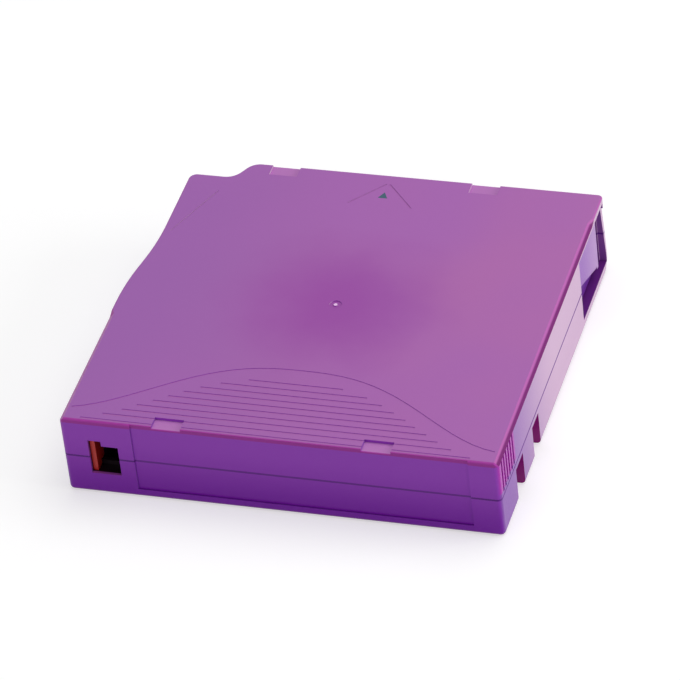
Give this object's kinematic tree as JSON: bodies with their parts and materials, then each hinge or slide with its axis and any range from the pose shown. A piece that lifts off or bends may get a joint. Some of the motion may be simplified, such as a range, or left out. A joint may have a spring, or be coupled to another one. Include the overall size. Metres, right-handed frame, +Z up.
{
  "type": "data tape cartridge",
  "caption": "Flat moulded cartridge holding a reel of half-inch data tape, with a hinged tape door, a write-protect slider and a toothed reel brake.",
  "frame": {"origin": "middle of the underside of the case", "axes": "+Z up through the lid, +Y the way the cartridge goes into a drive, +X towards the side with the tape door"},
  "size_m": [0.1054, 0.102, 0.0215],
  "materials": {
    "case_top": "moulded polycarbonate, purple, satin",
    "case_base": "moulded polycarbonate, purple, satin",
    "door": "moulded polycarbonate, purple, satin",
    "slider": "moulded red acetal",
    "steel": "stainless steel",
    "spring": "spring wire",
    "screw": "black zinc plate",
    "reel": "moulded polycarbonate, light grey",
    "tape": "smooth dark brown film",
    "brake": "moulded acetal, white",
    "clip": "moulded acetal, off-white",
    "board": "green circuit board",
    "chip": "black moulded package"
  },
  "bodies": {
    "case": {"lower_shell": "case_base", "upper_shell": "case_top", "case_screws": "screw", "door_pin": "steel", "door_spring": "spring", "leader_pin": "steel", "leader_tape_clip": "clip", "leader_pin_spring": "spring", "tape_lead": "tape", "memory_board": "board", "memory_chip": "chip", "brake_spring": "spring"},
    "door": {"access_door": "door"},
    "slider": {"write_protect_slider": "slider"},
    "reel": {"reel_hub": "reel", "reel_upper_flange": "reel", "tape_pack": "tape", "clutch_plate": "steel"},
    "brake": {"brake_button": "brake"},
    "release": {"brake_release": "brake"}
  },
  "joints": [
    {"name": "door_swing", "type": "hinge", "parent": "case", "child": "door", "pos_m": [0.0495, 0.0463, 0.01125], "axis": [0, 0, 1], "range_deg": [0, 90], "stiffness_Nm_per_rad": 0.004, "springref_deg": -17.19, "deforming": ["door_spring"]},
    {"name": "write_protect_slide", "type": "slide", "parent": "case", "child": "slider", "axis": [1, 0, 0], "range_m": [0, 0.0056]},
    {"name": "reel_spin", "type": "hinge", "parent": "case", "child": "reel", "pos_m": [0, 0, 0.01], "axis": [0, 0, 1], "continuous": true},
    {"name": "brake_lift", "type": "slide", "parent": "case", "child": "brake", "axis": [0, 0, 1], "range_m": [0, 0.002], "stiffness_N_per_m": 500, "springref_m": -0.004, "deforming": ["brake_spring"]},
    {"name": "release_lift", "type": "slide", "parent": "reel", "child": "release", "axis": [0, 0, 1], "range_m": [0, 0.002]}
  ],
  "couplings": [
    {"joint": "release_lift", "follows": "brake_lift", "ratio": 1}
  ]
}
